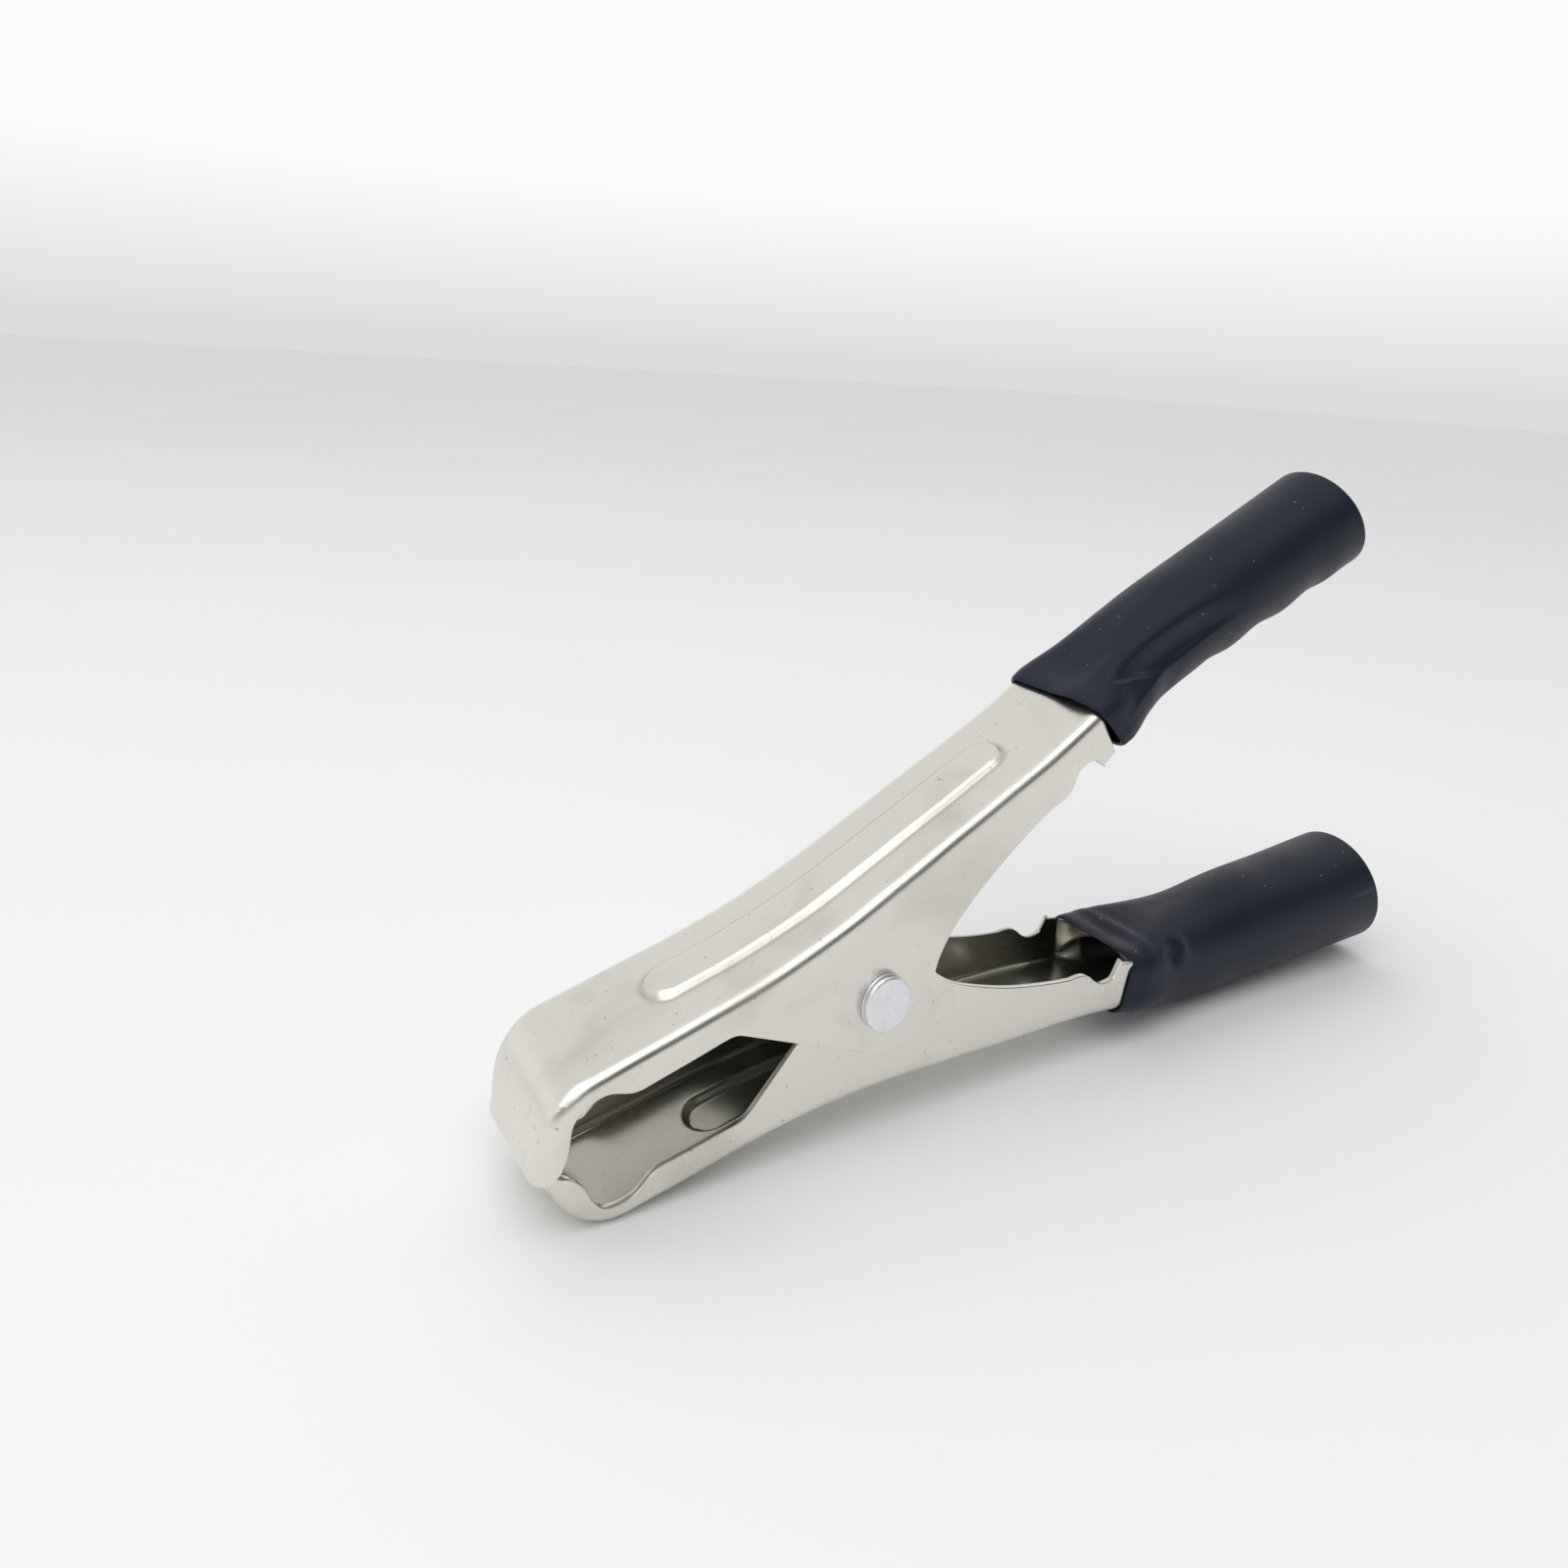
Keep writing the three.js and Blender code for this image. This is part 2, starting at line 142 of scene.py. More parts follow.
def mesh_piece(name, vertices, faces, material, node, body, sharp=35, masks=None):
    """A smooth-shaded piece that stands for a CAD node and, where a body is given, rides on it."""
    mesh = bpy.data.meshes.new(name)
    mesh.from_pydata([tuple(v) for v in vertices], [], faces)
    mesh.validate()
    mesh.polygons.foreach_set("use_smooth", [True] * len(mesh.polygons))
    mesh.set_sharp_from_angle(angle=radians(sharp))
    mesh.materials.append(material)
    for mask, values in (masks or {}).items():
        mesh.attributes.new(mask, "FLOAT", "POINT").data.foreach_set("value", values)
    piece = bpy.data.objects.new(name, mesh)
    bpy.context.scene.collection.objects.link(piece)
    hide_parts(node)
    if body:
        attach(piece, body)
    return piece


def loft_faces(rings, around):
    """Quads between matching closed rings of points, whose order turns about the loft's direction."""
    faces = []
    for ring in range(rings - 1):
        base = ring * around
        for i in range(around):
            j = (i + 1) % around
            faces.append((base + i, base + j, base + around + j, base + around + i))
    return faces


# ---- side profile of the web ----

PATH_STEP = 0.02            # of the tables that follow the web


def web_path(half):
    """Tables of distance along the sheet, x, z and heading of the web's outer face."""
    nose = half["nose"]
    bend_to = nose["start"] + nose["wall"] + nose["bend"]
    knots = [nose["start"], nose["start"] + nose["wall"], bend_to, JAW_TO,
             59.7, 90.6, 104.5, 118, 135.5, 230]
    headings = [nose["heading"], nose["heading"], 2, 2, 13.5, 13.5, 18.5, 18.5, 10, 10]
    s = np.arange(nose["start"], 190, PATH_STEP)
    heading = np.radians(np.interp(s, knots, headings))
    heading = soften(heading, int(0.8 / PATH_STEP))
    x = nose["x"] + np.concatenate([[0], np.cumsum(np.cos(heading[:-1]))]) * PATH_STEP
    z = PARTING_GAP + np.concatenate([[0], np.cumsum(np.sin(heading[:-1]))]) * PATH_STEP
    return dict(s=s, x=x, z=z, heading=heading)


def on_path(path, s):
    return tuple(np.interp(s, path["s"], path[key]) for key in ("x", "z", "heading"))


# ---- flange edge, seen from the side ----

def bezier(p0, p1, p2, p3, steps=24):
    t = np.linspace(0, 1, steps + 1)[1:, None]
    p0, p1, p2, p3 = (np.array(p, float) for p in (p0, p1, p2, p3))
    return (1 - t) ** 3 * p0 + 3 * (1 - t) ** 2 * t * p1 + 3 * (1 - t) * t ** 2 * p2 + t ** 3 * p3


def flange_edge(half):
    """Outline of the flange's free edge from the nose tip to the front corner of the crimp ear."""
    shift = np.array([half["tooth_shift"], 0])
    edge = [np.array([[-50.4, PARTING_GAP]]) + shift]

    def curve(a, b, c, moved=0):
        edge.append(bezier(edge[-1][-1], a + moved, b + moved, c + moved))

    at = lambda x, z: np.array([x, z])
    curve(at(-47.8, 1.2), at(-47.1, 2.2), at(-46.3, 5), shift)
    curve(at(-45.7, 7), at(-44.2, 7.75), at(-41.8, 7.75), shift)
    curve(at(-39.6, 7.7), at(-38.9, 6), at(-36.4, 5.95), shift)
    edge.append(np.linspace(edge[-1][-1], at(-24.9, 6.4), 30)[1:])
    curve(at(-23.9, 6.45), at(-22.9, 6.4), at(-22.2, 5.95))
    centre, radius = at(1.2, 0), 7.9
    slope = np.arctan2(-6.1, 9.3)
    turn = np.linspace(slope - pi / 2, radians(-12), 60)
    lobe = centre + radius * np.stack([np.cos(turn), np.sin(turn)], axis=1)
    edge.append(np.linspace(edge[-1][-1], lobe[0], 40)[1:])
    edge.append(lobe[1:])
    curve(at(9.4, 0.6), at(11.6, 3.4), at(15.2, 5.7))
    curve(at(20, 8.7), at(28, 12.6), at(36, 15))
    curve(at(41, 15.4), at(39.6, 17.8), at(42.4, 18.8))
    curve(at(43.4, 19.1), at(44.4, 19.2), at(45, 18.9))
    edge.append(np.linspace(edge[-1][-1], at(47.6, 16.5), 8)[1:])
    return np.concatenate(edge)


def ruling_angle(path, s, start):
    """Direction in which depth is measured, fanned at the nose so that its first row is level."""
    _, _, heading = on_path(path, s)
    square = heading - pi / 2
    return square * smooth(0, 6, s - start)


def edge_depth(path, edge, s, start):
    """Depth from the web to the flange edge along the ruling at each s."""
    x, z, _ = on_path(path, s)
    angle = ruling_angle(path, s, start)
    dx, dz = np.cos(angle), np.sin(angle)
    a, b = edge[:-1], edge[1:]
    depth = np.full(len(s), np.inf)
    for (ax, az), (bx, bz) in zip(a, b):
        ex, ez = bx - ax, bz - az
        cross = dx * ez - dz * ex
        cross = np.where(abs(cross) < 1e-12, 1e-12, cross)
        t = ((ax - x) * ez - (az - z) * ex) / cross
        u = ((ax - x) * dz - (az - z) * dx) / cross
        hit = (u >= -1e-6) & (u <= 1 + 1e-6) & (t > 0.2)
        depth = np.where(hit & (t < depth), t, depth)
    return depth


# ---- cross-section of a half ----

def section_keys(half):
    """Rows: distance, flat half-width, fold radius, fold angle, depth (or flange past the fold)."""
    nose = half["nose"]
    flat = half["width"] / 2 - FOLD_RADIUS
    tip = half["width"] / 2 - NOSE_FOLD_RADIUS
    bend_to = nose["start"] + nose["wall"] + nose["bend"]
    return np.array([
        [nose["start"], tip, NOSE_FOLD_RADIUS, 90, 0],
        [bend_to, flat, FOLD_RADIUS, 90, 0],
        [EAR_FROM, flat, FOLD_RADIUS, 90, 6.2],
        [EAR_FROM + 2.8, flat, FOLD_RADIUS, 90, 6.1],
        [EAR_FROM + 4.0, flat - 0.7, FOLD_RADIUS + 0.2, 104, 5.6],
        [EAR_ROLLED + 0.2, CRIMP_FLAT + 0.8, CRIMP_RADIUS - 0.3, 165, 3],
        [EAR_ROLLED + 1.3, CRIMP_FLAT, CRIMP_RADIUS, 178, 2],
        [EAR_TO, CRIMP_FLAT, CRIMP_RADIUS, 178, 2],
        [TROUGH_FROM, CRIMP_FLAT, CRIMP_RADIUS, 88, 0.4],
        [HANDLE_END, CRIMP_FLAT, CRIMP_RADIUS, 88, 0.4],
    ])


def inside_rib(half, s, y):
    """Distance in from the outline of the stiffening rib, negative outside it."""
    axis = np.clip(s, half["rib_from"] + RIB_HALF_WIDTH, RIB_TO - RIB_HALF_WIDTH)
    return RIB_HALF_WIDTH - np.hypot(s - axis, y)


def rib_height(half, s, y):
    return RIB_HEIGHT * smooth(0, RIB_WALL, inside_rib(half, s, y))


FLAT_COLUMNS = 26
FOLD_COLUMNS = 9
FLANGE_COLUMNS = 12
OUTER_COLUMNS = FLAT_COLUMNS + FOLD_COLUMNS + FLANGE_COLUMNS


def half_section(half, s, keys, depth, inset):
    """Points [y, depth] from the centre line to the free edge, on the outer face moved in by inset."""
    flat, radius, angle, straight = (np.interp(s, keys[:, 0], keys[:, i]) for i in (1, 2, 3, 4))
    if np.isfinite(depth):
        straight = max(depth - radius, 0.0)
        if depth < radius:
            angle = min(angle, np.degrees(np.arccos(1 - depth / radius)))
    fold = radians(angle)
    y_flat = np.linspace(0, flat, FLAT_COLUMNS)
    points = [np.stack([y_flat, inset - rib_height(half, s, y_flat)], axis=1)]
    turn = np.linspace(0, fold, FOLD_COLUMNS + 1)[1:]
    points.append(np.stack([
        flat + (radius - inset) * np.sin(turn),
        radius - (radius - inset) * np.cos(turn),
    ], axis=1))
    along = np.linspace(0, max(straight - EDGE_ROUNDING, 0), FLANGE_COLUMNS + 1)[1:, None]
    points.append(points[-1][-1] + along * np.array([cos(fold), sin(fold)]))
    return np.concatenate(points)


def edge_rounding(outer_end, inner_end, fold):
    """Points round the sheet's free edge, from its outer to its inner face."""
    out = (outer_end - inner_end) / 2
    middle = (outer_end + inner_end) / 2
    ahead = EDGE_ROUNDING * np.array([cos(fold), sin(fold)])
    return np.array([middle + 0.8 * out + ahead * 0.8, middle + 0.45 * out + ahead,
                     middle - 0.45 * out + ahead, middle - 0.8 * out + ahead * 0.8])


def section_ring(half, s, keys, depth):
    """Closed ring of [y, depth] round the whole sheet section."""
    outer = half_section(half, s, keys, depth, 0)
    inner = half_section(half, s, keys, depth, SHEET)
    fold = radians(np.interp(s, keys[:, 0], keys[:, 3]))
    lip = edge_rounding(outer[-1], inner[-1], fold)
    right = np.concatenate([outer, lip, inner[::-1]])
    left = right[::-1] * np.array([-1, 1])
    inner_centre = len(outer) + len(lip) + len(inner) - 1
    return np.concatenate([right[:inner_centre + 1], left[1:-1]])


EDGE_SPACING = 0.42         # between stations, along the flange's free edge
WEB_SPACING = 0.5           # between stations, along the web
EAR_SPACING = 0.45
TROUGH_SPACING = 1.3


def stations(half, path, edge):
    """Distances along the sheet, closer together where the flange edge runs along a ruling."""
    start = half["nose"]["start"]
    fine = np.arange(start, EAR_FROM - 0.01, PATH_STEP)
    depth = edge_depth(path, edge, fine, start)
    x, z, _ = on_path(path, fine)
    angle = ruling_angle(path, fine, start)
    tip = np.stack([x + depth * np.cos(angle), z + depth * np.sin(angle)], axis=1)
    step = np.hypot(*np.diff(tip, axis=0).T)
    progress = np.concatenate([[0], np.cumsum(np.maximum(step / EDGE_SPACING, PATH_STEP / WEB_SPACING))])
    wanted = np.linspace(0, progress[-1], int(progress[-1]) + 1)
    front = np.interp(wanted, progress, fine)
    ears = np.arange(EAR_FROM, TROUGH_FROM, EAR_SPACING)
    back = np.arange(TROUGH_FROM, HANDLE_END + 0.01, TROUGH_SPACING)
    s = np.concatenate([front, ears, back])
    depths = np.concatenate([np.interp(front, fine, depth), np.full(len(ears) + len(back), np.inf)])
    return s, depths


def waviness(s, y):
    """Slight unevenness left in the sheet by the press."""
    return 0.035 * np.sin(0.21 * s + 0.4) * np.cos(0.33 * y + 1.1) + 0.02 * np.sin(0.47 * s + 0.22 * y)


def jaw_mesh(half):
    """Vertices, faces and the material masks of painted shade of one pressed half."""
    path = web_path(half)
    edge = flange_edge(half)
    keys = section_keys(half)
    start = half["nose"]["start"]
    rings = []
    s_list, depth_list = stations(half, path, edge)
    for s, depth in zip(s_list, depth_list):
        ring = section_ring(half, s, keys, depth)
        x, z, _ = on_path(path, s)
        angle = ruling_angle(path, s, start) if s < EAR_FROM else on_path(path, s)[2] - pi / 2
        deep = ring[:, 1] - waviness(s, ring[:, 0]) * smooth(6, 12, s - start)
        rings.append(np.stack([x + deep * cos(angle), ring[:, 0], z + deep * sin(angle)], axis=1))
    around = len(rings[0])
    faces = [face[::-1] for face in loft_faces(len(rings), around)]
    faces += end_cap(around, 0) + [f[::-1] for f in end_cap(around, (len(rings) - 1) * around)]
    # Painted shade: the mask darkens the inner faces in the material, meaning the whole inner web and the
    # inner flanges, which fade in between 14 and 26 mm along the sheet.
    inner_from = OUTER_COLUMNS + 2
    place = np.minimum(np.arange(around), around - np.arange(around))
    web = (place >= inner_from + FLANGE_COLUMNS).astype(float)
    flange = (place >= inner_from).astype(float) - web
    inside_shade = np.outer(np.ones(len(s_list)), web) + np.outer(smooth(14, 26, s_list), flange)
    y = np.array(rings)[:, :, 1]
    # Painted shade: a thin band along the foot of the rib on the outer web, darkened in the material.
    foot_shade = bump(inside_rib(half, s_list[:, None], y), 0.15, 0.4) * (place < FLAT_COLUMNS)
    return np.concatenate(rings), faces, dict(inside_shade=inside_shade.ravel(), rib_foot_shade=foot_shade.ravel())


def end_cap(around, base):
    """Faces that close the sheet section between its outer and inner faces."""
    inner_centre = around // 2
    right = []
    for a in range(inner_centre // 2):
        b, c, d = a + 1, inner_centre - a, inner_centre - a - 1
        right.append((a, b, d, c) if b < d else (a, b, c))
    left = [tuple((around - i) % around for i in face[1::-1] + face[:1:-1]) for face in right]
    return [tuple(base + i for i in face) for face in right + left]


def drill_pivot(piece):
    """Cuts the rivet holes through both flanges."""
    steps = 48
    turn = np.linspace(0, 2 * pi, steps + 1)[:-1]
    radius = RIVET_SHANK_RADIUS + RIVET_HOLE_GAP
    circle = np.stack([radius * np.cos(turn), 0 * turn, radius * np.sin(turn)], axis=1)
    near, far = circle - [0, UPPER_WIDTH, 0], circle + [0, UPPER_WIDTH, 0]
    faces = loft_faces(2, steps) + [tuple(range(steps))[::-1], tuple(range(steps, 2 * steps))]
    mesh = bpy.data.meshes.new("drill")
    mesh.from_pydata([tuple(v) for v in to_row_frame(np.concatenate([near, far]))], [], faces)
    mesh.flip_normals()
    drill = bpy.data.objects.new("drill", mesh)
    bpy.context.scene.collection.objects.link(drill)
    cut = piece.modifiers.new("pivot_hole", "BOOLEAN")
    cut.operation = "DIFFERENCE"
    cut.solver = "EXACT"
    cut.object = drill
    bpy.context.view_layer.update()
    result = bpy.data.meshes.new_from_object(piece.evaluated_get(bpy.context.evaluated_depsgraph_get()))
    piece.modifiers.clear()
    piece.data = result
    bpy.data.objects.remove(drill)


def make_jaw(half, material):
    name = half["name"] + "_jaw"
    vertices, faces, masks = jaw_mesh(half)
    piece = mesh_piece(name + "_sheet", to_row_frame(vertices, half["sign"]), faces, material,
                       name, None, masks=masks)
    drill_pivot(piece)
    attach(piece, half["body"])
    return piece


# ---- rivet ----

def lathe(profile, steps=96):
    """Turned surface about the y axis from [radius, y] points that start and end on the axis."""
    turn = np.linspace(0, 2 * pi, steps + 1)[:-1]
    rings = [[(r * cos(a), y, r * sin(a)) for a in turn] for r, y in profile[1:-1]]
    vertices = [(0, profile[0][1], 0)] + [p for ring in rings for p in ring] + [(0, profile[-1][1], 0)]
    faces = [tuple(1 + i for i in f) for f in loft_faces(len(rings), steps)]
    last = len(vertices) - 1
    faces += [(0, 1 + (i + 1) % steps, 1 + i) for i in range(steps)]
    faces += [(last, last - steps + i, last - steps + (i + 1) % steps) for i in range(steps)]
    return np.array(vertices), faces


def arc(centre, radius, start, end, steps=8):
    turn = np.radians(np.linspace(start, end, steps + 1))
    return [(centre[0] + radius * cos(a), centre[1] + radius * sin(a)) for a in turn]


def make_rivet(material):
    seat = UPPER_WIDTH / 2 + 0.03
    top = UPPER_WIDTH / 2 + FIT_GAP + RIVET_HEAD_HEIGHT
    rim_in = 0.45
    profile = [(0, -top + 0.06), (1.2, -top + 0.05), (2.4, -top + 0.02)]
    profile += arc((RIVET_HEAD_RADIUS - rim_in, -top + rim_in), rim_in, -90, 0)
    profile += [(RIVET_HEAD_RADIUS - groove, -seat - height) for groove, height in
                ((0, 0.62), (0.05, 0.56), (0.2, 0.52), (0.2, 0.44), (0.05, 0.4), (0, 0.34))]
    profile += arc((RIVET_HEAD_RADIUS - 0.12, -seat - 0.12), 0.12, 0, 90, 3)
    profile += [(RIVET_SHANK_RADIUS, -seat), (RIVET_SHANK_RADIUS, seat)]
    profile += arc((RIVET_RIM_RADIUS - 0.55, seat + 0.55), 0.55, -80, 150)
    profile += [(1.85, seat + 0.35), (1.6, seat - 0.4), (1.5, seat - 3), (1.2, seat - 3.5), (0, seat - 3.7)]
    vertices, faces = lathe(profile)
    return mesh_piece("rivet_turned", to_row_frame(vertices), faces, material,
                      "pivot_rivet", "lower_half", 50)


# ---- torsion spring ----

def spring_line(count=900):
    """Centre line of the wire: leg, coil, leg."""
    leg_end = np.array(SPRING_LEG_END)
    reach = np.hypot(*leg_end)
    aim = np.arctan2(leg_end[1], leg_end[0])
    start = aim + np.arccos(SPRING_COIL_RADIUS / reach)
    sweep = 2 * (pi - start) + SPRING_TURNS * 2 * pi
    leg = sqrt(reach ** 2 - SPRING_COIL_RADIUS ** 2)
    coil = sweep * SPRING_COIL_RADIUS
    along = np.linspace(0, 2 * leg + coil, count) - leg
    wound = np.clip(along, 0, coil)
    over = along - wound
    angle = start + wound / SPRING_COIL_RADIUS
    return np.stack([
        SPRING_COIL_RADIUS * np.cos(angle) - over * np.sin(angle),
        SPRING_HALF_LENGTH * (1 - 2 * wound / coil),
        SPRING_COIL_RADIUS * np.sin(angle) + over * np.cos(angle),
    ], axis=1)


def make_spring(material):
    line = spring_line()
    tangent = np.gradient(line, axis=0)
    tangent /= np.linalg.norm(tangent, axis=1)[:, None]
    side = np.cross(tangent, [0, 1, 0])
    side /= np.linalg.norm(side, axis=1)[:, None]
    up = np.cross(side, tangent)
    around = 14
    turn = np.linspace(0, 2 * pi, around + 1)[:-1]
    scale = np.full(len(line), SPRING_WIRE_RADIUS)
    scale[[0, -1]] = 0.75 * SPRING_WIRE_RADIUS
    rings = [p + r * (np.outer(np.cos(turn), a) + np.outer(np.sin(turn), b))
             for p, r, a, b in zip(line, scale, side, up)]
    faces = [f[::-1] for f in loft_faces(len(rings), around)]
    last = (len(rings) - 1) * around
    faces += [tuple(range(around)), tuple(range(last + around - 1, last - 1, -1))]
    piece = mesh_piece("spring_wire", to_row_frame(np.concatenate(rings)), faces, material,
                       "torsion_spring", None)
    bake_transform(piece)
    return piece


# ---- vinyl sleeves ----

def grip_keys(half):
    """Rows: distance from the mouth, bore half-width, half-height, corner radius, centre depth, lean."""
    mouth = half["width"] / 2 + GRIP_MOUTH_GAP
    back = half["sleeve_length"]
    depth = GRIP_BORE_DEPTH
    mid, end = GRIP_BORE_RADIUS, GRIP_END_RADIUS
    return np.array([
        [0, mouth, 4.2, 2, 3.9, 0.24],
        [4, mouth - 0.1, 4.2, 2.4, 3.9, 0.18],
        [8.5, 8.8, 5, 3.8, 4, 0.08],
        [13.5, 8, 6.2, 5.6, 4.1, 0],
        [20, mid, 7.1, 6.9, depth, 0],
        [30, mid, mid, mid - 0.1, depth, 0],
        [back - 30, mid + 0.3, mid + 0.3, mid + 0.2, depth, 0],
        [back - 15, end - 0.4, end - 0.4, end - 0.5, depth, 0],
        [back, end, end, end - 0.1, depth, 0],
    ])


def rounded_rectangle(width, height, corner, grow, per_quarter):
    """Ring of points [y, down], the same share of each quarter's perimeter between neighbours."""
    points = []
    for quarter in range(4):
        sy = 1 if quarter in (0, 3) else -1
        sd = 1 if quarter < 2 else -1
        first, second = (height, width) if quarter % 2 == 0 else (width, height)
        first, second = first - corner, second - corner
        arc_length = pi / 2 * corner
        for step in range(per_quarter):
            walked = (first + arc_length + second) * step / per_quarter
            turn = pi / 2 * quarter + np.clip((walked - first) / max(corner, 1e-6), 0, pi / 2)
            before = min(walked, first) - first
            after = max(walked - first - arc_length, 0)
            normal = np.array([cos(turn), sin(turn)])
            tangent = np.array([-normal[1], normal[0]])
            centre = np.array([sy * (width - corner), sd * (height - corner)])
            points.append(centre + (corner + grow) * normal + tangent * (before + after))
    return np.array(points)


def upper_relief(along, angle):
    """Fold that runs back from the mouth's near corner, and the wavy underside."""
    fade = smooth(2, 9, along) * smooth(42, 20, along)
    ridge = 0.7 * bump(angle, radians(-132 - 0.5 * along), radians(11))
    valley = 0.95 * bump(angle, radians(-160 - 0.35 * along), radians(15))
    under = np.maximum(np.sin(angle), 0) ** 2
    waves = 0.42 * np.sin(2 * pi * (along - 33) / 14.5) * smooth(24, 32, along) * smooth(72, 60, along)
    pinch = 0.5 * bump(along, 17, 3) * bump(angle, radians(165), radians(20))
    return (ridge - valley) * fade + waves * under - pinch


def lower_relief(along, angle):
    """Waist behind the mouth, small pinches near it, and a dent in the near side."""
    above = np.maximum(np.sin(angle), 0) ** 2
    waist = 0.3 * bump(along, 24, 8) - 0.35 * bump(along, 40, 9)
    crumple = 0.35 * np.sin(2 * pi * along / 4.6) * bump(along, 4, 3.5)
    dent = 0.75 * bump(along, 12, 2.2) * bump(angle, radians(22), radians(11))
    lip = 0.4 * bump(along, 15.2, 1.4) * bump(angle, radians(28), radians(12))
    return (crumple - waist) * above - dent + lip


def sleeve_relief(half, along, angle):
    """How far the soft sleeve's outer face stands out or sinks in (mm)."""
    relief = upper_relief(along, angle) if half["sign"] > 0 else lower_relief(along, angle)
    thinned = 0.25 * smooth(2.5, 0, along) if half["sign"] > 0 else 0.55 * smooth(5, 0, along)
    return relief - 0.12 - thinned


def lifted_lip(half, along, ring):
    """The upper sleeve's mouth gapes over the web next to its near corner."""
    if half["sign"] < 0:
        return 0
    return 0.75 * smooth(7, 0, along) * bump(ring[:, 0], -4.5, 4) * (ring[:, 1] < 0)


PER_QUARTER = 30


def sleeve_rings(half, path, grow, relief):
    keys = grip_keys(half)
    length = half["sleeve_length"]
    along = np.concatenate([[0, 0.35], np.linspace(0.9, length - 0.7, 150), [length - 0.2]])
    fine = np.arange(0, length + 0.1, 0.1)
    table = [soften(np.interp(fine, keys[:, 0], keys[:, i]), 22) for i in range(1, 6)]
    rings = []
    for a in along:
        width, height, corner, centre, lean = (np.interp(a, fine, column) for column in table)
        ring = rounded_rectangle(width, height, corner, grow, PER_QUARTER)
        angle = np.arctan2(ring[:, 1], ring[:, 0])
        if relief:
            ring *= 1 + (sleeve_relief(half, a, angle) / np.hypot(*ring.T))[:, None]
        ring[:, 1] -= lifted_lip(half, a, ring)
        x, z, heading = on_path(path, half["sleeve_from"] + a)
        back = lean * (ring[:, 1] + height)
        depth = centre + ring[:, 1]
        rings.append(np.stack([
            x + depth * sin(heading) + back * cos(heading),
            ring[:, 0],
            z - depth * cos(heading) + back * sin(heading),
        ], axis=1))
    return rings


def make_sleeve(half, material):
    path = web_path(half)
    outer = sleeve_rings(half, path, GRIP_WALL, True)
    inner = sleeve_rings(half, path, 0, False)
    mouth_lip = (outer[0] + inner[0]) / 2 + (outer[0] - outer[1]) * 0.6
    rear_lip = (outer[-1] + inner[-1]) / 2 + (outer[-1] - outer[-2]) * 0.3
    outer[0] = outer[0] * 0.75 + inner[0] * 0.25
    rings = [mouth_lip] + outer + [rear_lip] + inner[::-1]
    around = len(outer[0])
    faces = loft_faces(len(rings), around)
    last = (len(rings) - 1) * around
    faces += [(last + i, last + (i + 1) % around, (i + 1) % around, i) for i in range(around)]
    vertices = to_row_frame(np.concatenate(rings), half["sign"])
    name = half["name"] + "_grip"
    return mesh_piece(name + "_sleeve", vertices, faces, material, name, half["body"], 60)


# ---- materials ----

class Nodes:
    """Short way to build a node material."""

    def __init__(self, name):
        self.material = bpy.data.materials.new(name)
        self.material.use_nodes = True
        self.tree = self.material.node_tree
        self.shader = self.tree.nodes["Principled BSDF"]
        self.position = self.tree.nodes.new("ShaderNodeTexCoord").outputs["Object"]

    def new(self, kind, values=None, **settings):
        node = self.tree.nodes.new(kind)
        for key, value in settings.items():
            setattr(node, key, value)
        for key, value in (values or {}).items():
            self.put(value, node.inputs[key])
        return node

    def put(self, value, socket):
        if isinstance(value, bpy.types.NodeSocket):
            self.tree.links.new(value, socket)
        else:
            socket.default_value = value

    def stretched(self, scale, rotation=(0, 0, 0)):
        node = self.new("ShaderNodeMapping", {"Vector": self.position, "Scale": scale, "Rotation": rotation})
        return node.outputs["Vector"]

    def noise(self, scale, detail=3, vector=None, roughness=0.5, distortion=0.0):
        node = self.new("ShaderNodeTexNoise", {
            "Vector": vector or self.position, "Scale": scale, "Detail": detail,
            "Roughness": roughness, "Distortion": distortion})
        return node.outputs["Fac"]

    def remap(self, value, a, b, c, d):
        node = self.new("ShaderNodeMapRange", {0: value, 1: a, 2: b, 3: c, 4: d})
        return node.outputs[0]

    def math(self, operation, a, b):
        return self.new("ShaderNodeMath", {0: a, 1: b}, operation=operation).outputs[0]

    def mix(self, factor, a, b):
        node = self.new("ShaderNodeMix", data_type="RGBA")
        self.put(factor, node.inputs[0])
        self.put(a, node.inputs[6])
        self.put(b, node.inputs[7])
        return node.outputs[2]

    def bump(self, height, distance, strength=1.0, normal=None):
        values = {"Height": height, "Distance": distance, "Strength": strength}
        if normal is not None:
            values["Normal"] = normal
        return self.new("ShaderNodeBump", values).outputs["Normal"]

    def finish(self, colour, roughness, normal, metallic):
        self.put(colour, self.shader.inputs["Base Color"])
        self.put(roughness, self.shader.inputs["Roughness"])
        self.put(normal, self.shader.inputs["Normal"])
        self.shader.inputs["Metallic"].default_value = metallic
        return self.material


